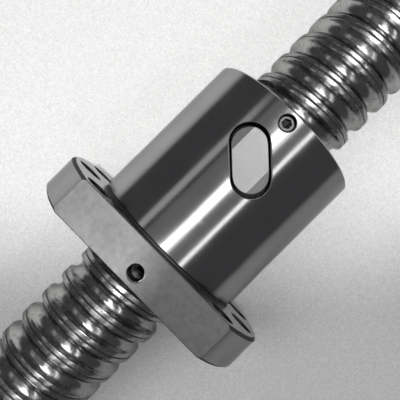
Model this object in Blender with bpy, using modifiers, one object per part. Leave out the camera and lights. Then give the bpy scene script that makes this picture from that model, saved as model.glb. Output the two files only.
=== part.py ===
"""Ball screw assembly: a flanged single nut running on a right-hand 40 x 10 screw.

Frame: metres.  The screw's axis is the X axis and the origin is on it at the screw's mid length,
where the flange's seat face also lies.  The nut's free end points to +X, and the flange's two
flats face +Z (the one with the lubrication port) and -Z.
"""
import math

import bmesh
import bpy
from mathutils import Matrix, Vector

MM = 0.001
X_AXIS = Vector((1, 0, 0))

# ---------------------------------------------------------------- thread and balls
SCREW_D = 40 * MM
LEAD = 10 * MM
BALL_D = 6.35 * MM
BALL_CIRCLE_D = 41.8 * MM
GROOVE_R = BALL_D / 2 + 0.32 * MM
BEAD_R = BALL_D / 2 - 0.37 * MM
HELIX_STEPS = 16
BALLS_LOADED = 17
BALLS_RETURNING = 3

# ---------------------------------------------------------------- screw shaft, along X
THREAD_FROM = -105 * MM
THREAD_TO = 155 * MM
SCREW_END = 177 * MM
SHAFT_CHAMFER = 2.6 * MM
BEARING_D = 30 * MM
BEARING_LENGTH = 32 * MM
LOCKNUT_THREAD_D = 29.4 * MM
LOCKNUT_THREAD_LENGTH = 14 * MM
DRIVE_D = 25 * MM
KEYWAY_WIDTH = 8 * MM
KEYWAY_DEPTH = 4 * MM
KEYWAY_LENGTH = 20 * MM
RING_GROOVE_D = 28.6 * MM
RING_GROOVE_WIDTH = 2.1 * MM
RING_GROOVE_X = 172 * MM
EDGE_BREAK = 1 * MM

# ---------------------------------------------------------------- nut
NUT_D = 63 * MM
NUT_REST_D = 62.8 * MM
PILOT_TO = 14.5 * MM
NUT_END = 60 * MM
NUT_CHAMFER = 0.8 * MM
UNDERCUT_WIDTH = 3 * MM
UNDERCUT_DEPTH = 0.35 * MM
FLANGE_D = 93 * MM
FLANGE_THICKNESS = 14 * MM
FLANGE_CHAMFER = 1 * MM
FLATS_ACROSS = 68 * MM
NUT_BORE_D = 41.4 * MM
WIPER_SEAT_D = 50 * MM
WIPER_SEAT_FLANGE = 4.5 * MM
WIPER_SEAT_FREE = 7.5 * MM
BOLT_CIRCLE_D = 78 * MM
BOLT_HOLE_D = 9 * MM
BOLT_ANGLES = (-45, -15, 15, 45)
PORT_X = -9.3 * MM
PORT_D = 6.1 * MM
PORT_DEPTH = 7.5 * MM
PORT_DRILL_D = 2.6 * MM
PORT_DRILL_TILT = 27
SET_SCREW_X = 55.8 * MM
SET_SCREW_HOLE_D = 5.6 * MM

# ---------------------------------------------------------------- ball returns
CIRCUITS = 3
RETURN_X = 39.7 * MM
RETURN_HALF_ANGLE = math.radians(27)
RETURN_LIFT = 3.0 * MM
WINDOW_LENGTH = 24.6 * MM
WINDOW_WIDTH = 13.3 * MM
WINDOW_TURN = math.radians(47)
FIT_GAP = 0.3 * MM
INSERT_TOP_R = 30.75 * MM
INSERT_FACET_HALF = 6.3 * MM
INSERT_FACET_SLOPE = math.radians(22)

# ---------------------------------------------------------------- small pieces
WIPER_D = 49.4 * MM
WIPER_BORE_D = 41.0 * MM
SET_SCREW_D = 5.2 * MM
SET_SCREW_TOP_R = 30.2 * MM
SET_SCREW_LENGTH = 5 * MM
SOCKET_ACROSS = 3 * MM
SOCKET_DEPTH = 2.5 * MM
RING_INNER_D = 29.3 * MM
RING_OUTER_D = 37.0 * MM
RING_THICKNESS = 1.4 * MM
RING_GAP = math.radians(28)
RING_LUG_R = 3.2 * MM
RING_EYE_D = 2.6 * MM

TOP = math.radians(90)
MERGE = 0.00001


# ================================================================ scene, collections, materials
def clear_scene():
    for obj in list(bpy.data.objects):
        bpy.data.objects.remove(obj, do_unlink=True)


def make_collection(name):
    collection = bpy.data.collections.new(name)
    bpy.context.scene.collection.children.link(collection)
    return collection


def make_material(name, colour, roughness, metallic):
    material = bpy.data.materials.new(name)
    material.use_nodes = True
    shader = material.node_tree.nodes["Principled BSDF"]
    shader.inputs["Base Color"].default_value = (*colour, 1)
    shader.inputs["Roughness"].default_value = roughness
    shader.inputs["Metallic"].default_value = metallic
    return material


def keep(obj, material):
    """Make the object a sub-part: its own material, smooth round faces, the part's collection."""
    obj.data.materials.clear()
    obj.data.materials.append(material)
    obj.data.shade_smooth()
    obj.data.set_sharp_from_angle(angle=math.radians(35))
    PART.objects.link(obj)
    return obj


def as_cutter(obj):
    """Make the object a guide that only cuts other pieces."""
    obj.hide_render = True
    obj.display_type = "WIRE"
    CUTTERS.objects.link(obj)
    return obj


def boolean(obj, other, operation="DIFFERENCE"):
    modifier = obj.modifiers.new(other.name, "BOOLEAN")
    modifier.operation = operation
    modifier.solver = "EXACT"
    modifier.object = other


# ================================================================ geometry helpers
def along_x(x=0.0):
    """Placement of a piece turned about its own Z, set on the screw's axis at x."""
    return Matrix.Translation((x, 0, 0)) @ Matrix.Rotation(math.radians(90), 4, "Y")


def radial_frame(x, angle, turn=0.0):
    """Placement with Z pointing outwards at the angle about +X, and X turned off the screw's axis."""
    outward = Vector((0, math.cos(angle), math.sin(angle)))
    backward = Vector((0, math.sin(angle), -math.cos(angle)))
    long_way = math.cos(turn) * X_AXIS + math.sin(turn) * backward
    across = outward.cross(long_way)
    frame = Matrix((long_way, across, outward)).transposed().to_4x4()
    return Matrix.Translation((x, 0, 0)) @ frame


def mesh_object(name, fill):
    """An object whose mesh the function fill builds in a bmesh."""
    shape = bmesh.new()
    fill(shape)
    mesh = bpy.data.meshes.new(name)
    shape.to_mesh(mesh)
    shape.free()
    return bpy.data.objects.new(name, mesh)


def cylinder(name, diameter, low, high, segments=24, placement=Matrix()):
    """A closed cylinder on the placement's Z axis, from low to high along it."""
    def fill(shape):
        bmesh.ops.create_cone(
            shape, cap_ends=True, segments=segments, radius1=diameter / 2,
            radius2=diameter / 2, depth=high - low,
            matrix=Matrix.Translation((0, 0, (low + high) / 2)))
    obj = mesh_object(name, fill)
    obj.matrix_world = placement
    return obj


def box(name, low, high, placement=Matrix()):
    """A closed box between two corners of the placement's frame."""
    size = [b - a for a, b in zip(low, high)]
    middle = [(a + b) / 2 for a, b in zip(low, high)]

    def fill(shape):
        bmesh.ops.create_cube(
            shape, size=1, matrix=Matrix.Translation(middle) @ Matrix.Diagonal((*size, 1)))
    obj = mesh_object(name, fill)
    obj.matrix_world = placement
    return obj


def turned(name, profile, steps, closed=False):
    """Turn a profile of (x along the screw, radius) about the screw's axis, from high x to low x."""
    def fill(shape):
        verts = [shape.verts.new((radius, 0, x)) for x, radius in profile]
        pairs = list(zip(verts, verts[1:]))
        if closed:
            pairs.append((verts[-1], verts[0]))
        for first, second in pairs:
            shape.edges.new((first, second))
    obj = mesh_object(name, fill)
    obj.matrix_world = along_x()
    screw = obj.modifiers.new("Turned", "SCREW")
    screw.axis = "Z"
    screw.angle = math.tau
    screw.steps = steps
    screw.render_steps = steps
    screw.use_merge_vertices = True
    screw.merge_threshold = MERGE
    return obj


def mesh_from(obj, name):
    """Swap a curve for the closed mesh that it draws."""
    graph = bpy.context.evaluated_depsgraph_get()
    mesh = bpy.data.meshes.new_from_object(obj.evaluated_get(graph))
    shape = bmesh.new()
    shape.from_mesh(mesh)
    bmesh.ops.remove_doubles(shape, verts=shape.verts, dist=MERGE)
    bmesh.ops.recalc_face_normals(shape, faces=shape.faces)
    shape.to_mesh(mesh)
    shape.free()
    swapped = bpy.data.objects.new(name, mesh)
    swapped.matrix_world = obj.matrix_world.copy()
    curve = obj.data
    bpy.data.objects.remove(obj, do_unlink=True)
    bpy.data.curves.remove(curve)
    return swapped


def tube(name, points, radius, scales=None):
    """A round bar with closed ends along the points; scales vary its radius from point to point."""
    curve = bpy.data.curves.new(name, "CURVE")
    curve.dimensions = "3D"
    curve.bevel_depth = radius
    curve.bevel_resolution = 2
    curve.use_fill_caps = True
    spline = curve.splines.new("POLY")
    spline.points.add(len(points) - 1)
    for index, point in enumerate(points):
        spline.points[index].co = (*point, 1)
        spline.points[index].radius = scales[index] if scales else 1
    obj = bpy.data.objects.new(name + "_curve", curve)
    bpy.context.scene.collection.objects.link(obj)
    bpy.context.view_layer.update()
    return mesh_from(obj, name)


def plate(name, outline, low, high, placement=Matrix(), holes=()):
    """A flat outline, with any holes, given thickness between low and high along Z."""
    curve = bpy.data.curves.new(name, "CURVE")
    curve.dimensions = "2D"
    curve.fill_mode = "BOTH"
    curve.extrude = (high - low) / 2
    for loop in (outline, *holes):
        spline = curve.splines.new("POLY")
        spline.points.add(len(loop) - 1)
        for index, point in enumerate(loop):
            spline.points[index].co = (*point, 0, 1)
        spline.use_cyclic_u = True
    obj = bpy.data.objects.new(name + "_curve", curve)
    bpy.context.scene.collection.objects.link(obj)
    obj.matrix_world = placement @ Matrix.Translation((0, 0, (low + high) / 2))
    bpy.context.view_layer.update()
    return mesh_from(obj, name)


def arc(centre, radius, start, stop, count):
    """Points on an arc, with both ends."""
    angles = [start + (stop - start) * i / count for i in range(count + 1)]
    return [(centre[0] + radius * math.cos(a), centre[1] + radius * math.sin(a)) for a in angles]


def racetrack(length, width, count=6):
    """A slot outline with round ends, its long way along X."""
    reach = (length - width) / 2
    right = arc((reach, 0), width / 2, -math.pi / 2, math.pi / 2, count)
    left = arc((-reach, 0), width / 2, math.pi / 2, 3 * math.pi / 2, count)
    return right + left


# ================================================================ the balls' route
def circuit_angle(index):
    """Angle about +X of a return insert; the three are a third of a turn apart."""
    return TOP - index * math.tau / CIRCUITS


def circuit_x(index):
    """Place along X of a return insert; each circuit sits a lead and a third further in."""
    return RETURN_X - index * LEAD * (1 + 1 / CIRCUITS)


def on_screw(x, radius, angle):
    return Vector((x, radius * math.cos(angle), radius * math.sin(angle)))


def groove_x(angle):
    """Place along X of the groove's centre line, which passes half a lead off each insert."""
    return RETURN_X + LEAD / 2 + LEAD * (angle - TOP) / math.tau


def groove_path(x_from, x_to, radius=BALL_CIRCLE_D / 2):
    """Points on the groove's centre line, with a corner at the same angles on every turn."""
    step = math.tau / HELIX_STEPS
    first = math.floor((x_from - groove_x(0)) / LEAD * HELIX_STEPS)
    last = math.ceil((x_to - groove_x(0)) / LEAD * HELIX_STEPS)
    angles = [index * step for index in range(first, last + 1)]
    return [on_screw(groove_x(a), radius, a) for a in angles]


def return_point(index, way):
    """Point of a return passage: way runs from -1 to 1 as it climbs back one lead over the land."""
    span = LEAD * RETURN_HALF_ANGLE / math.tau
    offset = LEAD / 2 - span
    linear = (3 * offset + span) / 2
    cubic = offset - linear
    x = circuit_x(index) - (linear * way + cubic * way ** 3)
    lift = RETURN_LIFT * max(0, 1 - way * way) ** 1.5
    return on_screw(x, BALL_CIRCLE_D / 2 + lift, circuit_angle(index) + way * RETURN_HALF_ANGLE)


def loaded_point(index, share):
    """Point of a loaded row: share runs from 0 to 1 round the screw, from insert back to insert."""
    sweep = math.tau - 2 * RETURN_HALF_ANGLE
    angle = RETURN_HALF_ANGLE + share * sweep
    x = circuit_x(index) - LEAD / 2 + LEAD * angle / math.tau
    return on_screw(x, BALL_CIRCLE_D / 2, circuit_angle(index) + angle)


def return_passage(index, name):
    """The tunnel cutter of one return, run out a little way into the groove at both ends."""
    ways = [way / 8 for way in range(-8, 9)]
    points = [return_point(index, way) for way in ways]
    lead_in = (points[0] - points[1]).normalized() * BALL_D / 2
    lead_out = (points[-1] - points[-2]).normalized() * BALL_D / 2
    points = [points[0] + lead_in, *points, points[-1] + lead_out]
    return as_cutter(tube(name, points, GROOVE_R))


# ================================================================ screw shaft
def screw_shaft(material, parent):
    radius = SCREW_D / 2
    locknut_end = THREAD_FROM - BEARING_LENGTH - LOCKNUT_THREAD_LENGTH
    profile = [
        (SCREW_END, 0),
        (SCREW_END, BEARING_D / 2 - EDGE_BREAK),
        (SCREW_END - EDGE_BREAK, BEARING_D / 2),
        (RING_GROOVE_X + RING_GROOVE_WIDTH / 2, BEARING_D / 2),
        (RING_GROOVE_X + RING_GROOVE_WIDTH / 2, RING_GROOVE_D / 2),
        (RING_GROOVE_X - RING_GROOVE_WIDTH / 2, RING_GROOVE_D / 2),
        (RING_GROOVE_X - RING_GROOVE_WIDTH / 2, BEARING_D / 2),
        (THREAD_TO, BEARING_D / 2),
        (THREAD_TO, radius - SHAFT_CHAMFER),
        (THREAD_TO - SHAFT_CHAMFER, radius),
        (THREAD_FROM + SHAFT_CHAMFER, radius),
        (THREAD_FROM, radius - SHAFT_CHAMFER),
        (THREAD_FROM, BEARING_D / 2),
        (THREAD_FROM - BEARING_LENGTH, BEARING_D / 2),
        (THREAD_FROM - BEARING_LENGTH, LOCKNUT_THREAD_D / 2),
        (locknut_end, LOCKNUT_THREAD_D / 2),
        (locknut_end, DRIVE_D / 2),
        (-SCREW_END + EDGE_BREAK, DRIVE_D / 2),
        (-SCREW_END, DRIVE_D / 2 - EDGE_BREAK),
        (-SCREW_END, 0),
    ]
    shaft = turned("screw_shaft", profile, HELIX_STEPS)
    path = groove_path(THREAD_FROM - LEAD / 2, THREAD_TO + LEAD / 2)
    boolean(shaft, as_cutter(tube("cut_shaft_groove", path, GROOVE_R)))
    reach = (KEYWAY_LENGTH - KEYWAY_WIDTH) / 2
    middle = (locknut_end - SCREW_END) / 2
    keyway = plate(
        "cut_keyway", racetrack(KEYWAY_LENGTH, KEYWAY_WIDTH, 6), DRIVE_D / 2 - KEYWAY_DEPTH,
        DRIVE_D / 2 + reach, radial_frame(middle, TOP))
    boolean(shaft, as_cutter(keyway))
    shaft.parent = parent
    return keep(shaft, material)


# ================================================================ nut
def nut_blank():
    """The turned nut, before it is drilled: flange at low x, body to high x, stepped bore."""
    body = NUT_REST_D / 2
    pilot = NUT_D / 2
    flange = FLANGE_D / 2
    profile = [
        (NUT_END, WIPER_SEAT_D / 2),
        (NUT_END, body - NUT_CHAMFER),
        (NUT_END - NUT_CHAMFER, body),
        (PILOT_TO, body),
        (PILOT_TO, pilot),
        (UNDERCUT_WIDTH, pilot),
        (UNDERCUT_WIDTH, pilot - UNDERCUT_DEPTH),
        (0, pilot - UNDERCUT_DEPTH),
        (0, flange - FLANGE_CHAMFER),
        (-FLANGE_CHAMFER, flange),
        (-FLANGE_THICKNESS + FLANGE_CHAMFER, flange),
        (-FLANGE_THICKNESS, flange - FLANGE_CHAMFER),
        (-FLANGE_THICKNESS, WIPER_SEAT_D / 2),
        (-FLANGE_THICKNESS + WIPER_SEAT_FLANGE, WIPER_SEAT_D / 2),
        (-FLANGE_THICKNESS + WIPER_SEAT_FLANGE, NUT_BORE_D / 2),
        (NUT_END - WIPER_SEAT_FREE, NUT_BORE_D / 2),
        (NUT_END - WIPER_SEAT_FREE, WIPER_SEAT_D / 2),
    ]
    return turned("nut_body", profile, 2 * HELIX_STEPS, closed=True)


def cut_flats(nut):
    for side in (-1, 1):
        near, far = sorted((side * FLATS_ACROSS / 2, side * FLANGE_D))
        cutter = box(f"cut_flat_{'low' if side < 0 else 'high'}",
                     (-2 * FLANGE_THICKNESS, -FLANGE_D, near), (UNDERCUT_DEPTH, FLANGE_D, far))
        boolean(nut, as_cutter(cutter))


def cut_bolt_holes(nut):
    for side in (0, 180):
        for angle in BOLT_ANGLES:
            around = math.radians(side + angle)
            place = Matrix.Translation(on_screw(0, BOLT_CIRCLE_D / 2, around)) @ along_x()
            cutter = cylinder(f"cut_bolt_hole_{side + angle}", BOLT_HOLE_D,
                              -2 * FLANGE_THICKNESS, FLANGE_THICKNESS, 12, place)
            boolean(nut, as_cutter(cutter))


def cut_port(nut):
    """The lubrication port: a blind tapped hole, then a slanted drilling to behind the wiper."""
    top = FLATS_ACROSS / 2
    mouth = cylinder("cut_port", PORT_D, top - PORT_DEPTH, top + FLANGE_CHAMFER, 20,
                     radial_frame(PORT_X, TOP))
    boolean(nut, as_cutter(mouth))
    tilt = Matrix.Rotation(math.radians(-PORT_DRILL_TILT), 4, "Y")
    base = Matrix.Translation((PORT_X, 0, top - PORT_DEPTH + PORT_DRILL_D / 2))
    drill = cylinder("cut_port_drilling", PORT_DRILL_D, -PORT_DEPTH, PORT_DRILL_D, 10,
                     base @ tilt)
    boolean(nut, as_cutter(drill))


def nut_body(material, passages):
    nut = nut_blank()
    cut_flats(nut)
    cut_bolt_holes(nut)
    cut_port(nut)
    outside_balls = BALL_CIRCLE_D / 2 / math.cos(math.pi / HELIX_STEPS)
    path = groove_path(-FLANGE_THICKNESS + LEAD / 4, NUT_END - LEAD / 4, outside_balls)
    boolean(nut, as_cutter(tube("cut_nut_groove", path, GROOVE_R)))
    for index in range(CIRCUITS):
        window = plate(f"cut_window_{index + 1}", racetrack(WINDOW_LENGTH, WINDOW_WIDTH),
                       SCREW_D / 2 - GROOVE_R, NUT_D / 2 + GROOVE_R,
                       radial_frame(circuit_x(index), circuit_angle(index), WINDOW_TURN))
        boolean(nut, as_cutter(window))
        boolean(nut, passages[index])
    hole = cylinder("cut_set_screw_hole", SET_SCREW_HOLE_D, NUT_BORE_D / 2, NUT_D, 20,
                    radial_frame(SET_SCREW_X, TOP))
    boolean(nut, as_cutter(hole))
    return keep(nut, material)


# ================================================================ return inserts and balls
def return_insert(index, material, passage):
    """A slot-shaped insert: three flats outside, hollowed to the screw inside, with its tunnel."""
    name = f"return_insert_{index + 1}"
    outline = racetrack(WINDOW_LENGTH - 2 * FIT_GAP, WINDOW_WIDTH - 2 * FIT_GAP)
    x = circuit_x(index)
    angle = circuit_angle(index)
    insert = plate(name, outline, SCREW_D / 2 - GROOVE_R, NUT_D / 2 + FIT_GAP,
                   radial_frame(x, angle, WINDOW_TURN))
    wide = WINDOW_LENGTH
    drop = (wide - INSERT_FACET_HALF) * math.tan(INSERT_FACET_SLOPE)
    roof = [(-wide, 0), (wide, 0), (wide, INSERT_TOP_R - drop), (INSERT_FACET_HALF, INSERT_TOP_R),
            (-INSERT_FACET_HALF, INSERT_TOP_R), (-wide, INSERT_TOP_R - drop)]
    stand_up = Matrix.Rotation(math.radians(90), 4, "Z") @ Matrix.Rotation(
        math.radians(90), 4, "X")
    facets = plate(f"cut_facets_{index + 1}", roof, -wide, wide, radial_frame(x, angle) @ stand_up)
    boolean(insert, as_cutter(facets), "INTERSECT")
    bore = cylinder(f"cut_insert_bore_{index + 1}", NUT_BORE_D, x - wide, x + wide,
                    2 * HELIX_STEPS, along_x())
    boolean(insert, as_cutter(bore))
    boolean(insert, passage)
    return keep(insert, material)


def loaded_balls(index, material):
    """The loaded row of one circuit: its balls stand in one string, necked between ball and ball."""
    pitch = 1 / BALLS_LOADED
    slack = 0.018
    points = []
    scales = []
    for ball in range(BALLS_LOADED):
        for place, scale in ((0.04, 0.45), (0.3, 0.96), (0.7, 0.96)):
            share = (ball + place) * pitch
            points.append(loaded_point(index, slack + share * (1 - 2 * slack)))
            scales.append(scale)
    points.append(loaded_point(index, 1 - slack))
    scales.append(0.45)
    return keep(tube(f"loaded_balls_{index + 1}", points, BEAD_R, scales), material)


def returning_ball(index, number, material):
    """One ball on its way back over the land, inside the insert."""
    way = (number - (BALLS_RETURNING - 1) / 2) * 2 / BALLS_RETURNING * 0.98
    centre = return_point(index, way)

    def fill(shape):
        bmesh.ops.create_uvsphere(shape, u_segments=8, v_segments=6, radius=BEAD_R)
    ball = mesh_object(f"returning_ball_{index + 1}_{number + 1}", fill)
    ball.matrix_world = Matrix.Translation(centre)
    return keep(ball, material)


# ================================================================ wipers and small hardware
def wiper(name, x_from, x_to, material):
    profile = [(x_to, WIPER_BORE_D / 2), (x_to, WIPER_D / 2), (x_from, WIPER_D / 2),
               (x_from, WIPER_BORE_D / 2)]
    return keep(turned(name, profile, 2 * HELIX_STEPS, closed=True), material)


def hexagon(across):
    corner = across / math.sqrt(3)
    return [(corner * math.cos(k * math.pi / 3), corner * math.sin(k * math.pi / 3))
            for k in range(6)]


def wiper_set_screw(material):
    place = radial_frame(SET_SCREW_X, TOP)
    screw = cylinder("wiper_set_screw", SET_SCREW_D, SET_SCREW_TOP_R - SET_SCREW_LENGTH,
                     SET_SCREW_TOP_R, 18, place)
    socket = plate("cut_socket", hexagon(SOCKET_ACROSS), SET_SCREW_TOP_R - SOCKET_DEPTH,
                   SET_SCREW_TOP_R + SOCKET_DEPTH, place)
    boolean(screw, as_cutter(socket))
    return keep(screw, material)


def ring_outline():
    """A split ring with two lugs: wide on the side away from the split."""
    half = RING_GAP / 2
    inner = arc((0, 0), RING_INNER_D / 2, half, math.tau - half, 22)
    middle = (RING_INNER_D + RING_OUTER_D) / 4
    lug_high = (middle * math.cos(half) + RING_LUG_R / 2, middle * math.sin(half) + RING_LUG_R / 2)
    lug_low = (lug_high[0], -lug_high[1])
    high = arc(lug_high, RING_LUG_R, math.radians(-60), math.radians(120), 6)
    low = arc(lug_low, RING_LUG_R, math.radians(-120), math.radians(60), 6)
    start = math.radians(36)
    outer = arc((-0.4 * MM, 0), RING_OUTER_D / 2, start, math.tau - start, 16)
    return list(reversed(inner)) + high + outer + low, (lug_high, lug_low)


def retaining_ring(material, parent):
    outline, lugs = ring_outline()
    eyes = [arc(lug, RING_EYE_D / 2, 0, math.tau * 7 / 8, 7) for lug in lugs]
    place = Matrix.Translation((RING_GROOVE_X, 0, 0)) @ Matrix.Rotation(
        math.radians(90), 4, "Z") @ Matrix.Rotation(math.radians(90), 4, "X")
    ring = plate("retaining_ring", outline, -RING_THICKNESS / 2, RING_THICKNESS / 2, place, eyes)
    ring.parent = parent
    return keep(ring, material)


def turning_empty():
    """The screw's axis, on which the shaft and the ring in its groove turn and travel."""
    empty = bpy.data.objects.new("screw_axis", None)
    empty.empty_display_type = "ARROWS"
    empty.empty_display_size = SCREW_D
    PART.objects.link(empty)
    return empty


def build():
    ground_steel = make_material("ground_steel", (0.33, 0.33, 0.34), 0.24, 1)
    rolled_steel = make_material("rolled_steel", (0.4, 0.4, 0.41), 0.18, 1)
    insert_steel = make_material("blasted_steel", (0.5, 0.5, 0.5), 0.5, 1)
    ball_steel = make_material("ball_steel", (0.6, 0.6, 0.62), 0.06, 1)
    black_oxide = make_material("black_oxide", (0.06, 0.06, 0.06), 0.4, 1)
    spring_steel = make_material("spring_steel", (0.12, 0.12, 0.12), 0.35, 1)
    wiper_plastic = make_material("wiper_plastic", (0.03, 0.03, 0.03), 0.5, 0)

    axis = turning_empty()
    screw_shaft(rolled_steel, axis)
    retaining_ring(spring_steel, axis)

    passages = [return_passage(i, f"cut_return_passage_{i + 1}") for i in range(CIRCUITS)]
    nut_body(ground_steel, passages)
    for index in range(CIRCUITS):
        return_insert(index, insert_steel, passages[index])
        loaded_balls(index, ball_steel)
        for number in range(BALLS_RETURNING):
            returning_ball(index, number, ball_steel)
    wiper("wiper_flange_end", -FLANGE_THICKNESS + FIT_GAP,
          -FLANGE_THICKNESS + WIPER_SEAT_FLANGE - FIT_GAP, wiper_plastic)
    wiper("wiper_free_end", NUT_END - WIPER_SEAT_FREE + FIT_GAP, NUT_END - FIT_GAP, wiper_plastic)
    wiper_set_screw(black_oxide)


clear_scene()
PART = make_collection("ball_screw_assembly")
CUTTERS = make_collection("cutters")
build()
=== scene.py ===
"""Looks of the ball screw assembly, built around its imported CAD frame.

Metres, in the CAD's own frame: the screw's axis is X with the nut's free end towards +X, the
flange's two flats face +Z and -Z, and the flange's seat face is at x = 0.
"""
import math

import bmesh
import bpy
from mathutils import Matrix, Vector


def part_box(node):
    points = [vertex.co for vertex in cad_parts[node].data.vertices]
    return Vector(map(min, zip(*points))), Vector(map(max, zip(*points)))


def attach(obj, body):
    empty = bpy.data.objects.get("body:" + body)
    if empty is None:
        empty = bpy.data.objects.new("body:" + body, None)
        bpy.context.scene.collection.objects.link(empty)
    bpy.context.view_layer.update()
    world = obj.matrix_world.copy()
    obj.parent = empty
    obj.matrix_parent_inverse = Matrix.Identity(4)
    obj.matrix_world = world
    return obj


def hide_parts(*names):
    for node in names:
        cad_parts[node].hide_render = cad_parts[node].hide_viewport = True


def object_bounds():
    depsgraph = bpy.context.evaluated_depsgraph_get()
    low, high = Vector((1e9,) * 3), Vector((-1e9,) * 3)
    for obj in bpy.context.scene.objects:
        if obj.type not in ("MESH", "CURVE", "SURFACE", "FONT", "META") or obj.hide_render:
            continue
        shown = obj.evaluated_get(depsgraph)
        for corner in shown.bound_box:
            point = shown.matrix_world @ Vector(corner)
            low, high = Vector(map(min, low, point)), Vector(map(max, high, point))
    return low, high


MM = 0.001
TOP = math.radians(90)
MERGE = 0.002 * MM

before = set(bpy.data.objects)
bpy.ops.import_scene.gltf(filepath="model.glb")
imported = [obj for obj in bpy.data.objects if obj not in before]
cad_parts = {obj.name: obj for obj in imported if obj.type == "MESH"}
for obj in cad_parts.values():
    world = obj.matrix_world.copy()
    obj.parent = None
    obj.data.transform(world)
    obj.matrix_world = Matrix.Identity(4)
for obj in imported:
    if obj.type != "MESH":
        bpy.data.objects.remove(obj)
CAD_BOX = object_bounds()


def span(node, axis):
    """Lowest and highest coordinate of a CAD node along one axis."""
    low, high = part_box(node)
    return low[axis], high[axis]


# ---------------------------------------------------------------- sizes taken from the frame
SCREW_LOW, SCREW_HIGH = span("screw_shaft", 0)
SCREW_R = span("screw_shaft", 2)[1]
NUT_LOW, NUT_HIGH = span("nut_body", 0)
FLANGE_R = span("nut_body", 1)[1]
FLAT_Z = span("nut_body", 2)[1]
FLOOR_Z = CAD_BOX[0].z
RING_X = sum(span("retaining_ring", 0)) / 2
RING_THICK = span("retaining_ring", 0)[1] - span("retaining_ring", 0)[0]
SET_SCREW_X = sum(span("wiper_set_screw", 0)) / 2
SET_SCREW_LOW, SET_SCREW_TOP = span("wiper_set_screw", 2)
WIPER_R = span("wiper_free_end", 2)[1]
WIPER_CLEAR = 0.22 * MM

# ---------------------------------------------------------------- thread and balls
LEAD = 10 * MM
BALL_D = 6.35 * MM
BALL_CIRCLE_R = 20.9 * MM
TRACK_R = 3.37 * MM
TRACK_OFFSET = 0.14 * MM
TRACK_CLEAR = 0.03 * MM
THREAD_COLUMNS = 96
BALLS_LOADED = 17
BALLS_RETURNING = 3
CIRCUITS = 3
RETURN_X = 39.7 * MM
RETURN_HALF_ANGLE = math.radians(27)
RETURN_LIFT = 3.0 * MM
GROOVE_X = RETURN_X + LEAD / 4

# ---------------------------------------------------------------- shaft
THREAD_FROM = -105 * MM
THREAD_TO = 155 * MM
SHAFT_CHAMFER = 2.6 * MM
BEARING_R = 15 * MM
LOCKNUT_FROM = -137 * MM
LOCKNUT_TO = -151 * MM
LOCKNUT_PITCH = 1.5 * MM
DRIVE_R = 12.5 * MM
EDGE_BREAK = 1 * MM
KEYWAY_WIDTH = 8 * MM
KEYWAY_LENGTH = 20 * MM
KEYWAY_DEPTH = 4 * MM
RING_GROOVE_R = 14.3 * MM
RING_GROOVE_WIDTH = 2.1 * MM

# ---------------------------------------------------------------- nut
REST_R = 31.4 * MM
PILOT_R = 31.5 * MM
PILOT_TO = 14.5 * MM
UNDERCUT_WIDTH = 1.3 * MM
UNDERCUT_DEPTH = 0.5 * MM
NUT_CHAMFER = 0.45 * MM
FLANGE_CHAMFER = 1 * MM
FLAT_BREAK = 0.3 * MM
NUT_BORE_R = 20.7 * MM
SEAT_R = 25 * MM
SEAT_FLANGE = 4.5 * MM
SEAT_FREE = 7.5 * MM
BOLT_CIRCLE_R = 39 * MM
BOLT_HOLE_R = 4.5 * MM
BOLT_CHAMFER = 0.4 * MM
BOLT_ANGLES = (-45, -15, 15, 45)
PORT_X = -9.3 * MM
PORT_R = 3.05 * MM
PORT_DEPTH = 7.5 * MM
PORT_PITCH = 1 * MM
PORT_RIM = 0.5 * MM
PORT_DRILL_R = 1.3 * MM
PORT_DRILL_TILT = math.radians(27)
SET_SCREW_R = 2.6 * MM
SET_SCREW_PITCH = 0.8 * MM
SET_SCREW_HOLE_R = 2.8 * MM
SET_SCREW_HOLE_BREAK = 0.3 * MM
SOCKET_ACROSS = 3 * MM
SOCKET_DEPTH = 2.4 * MM
WINDOW_LENGTH = 24 * MM
WINDOW_WIDTH = 12.7 * MM
WINDOW_TURN = math.radians(47)
WINDOW_BREAK = 0.25 * MM
INSERT_LENGTH = 20.9 * MM
INSERT_WIDTH = 11.2 * MM
INSERT_TOP_R = 30.75 * MM
INSERT_SHOULDER_R = 27.2 * MM
INSERT_FACET_HALF = 6.3 * MM
INSERT_FACET_SLOPE = math.radians(22)
FIT_GAP = 0.3 * MM


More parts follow.
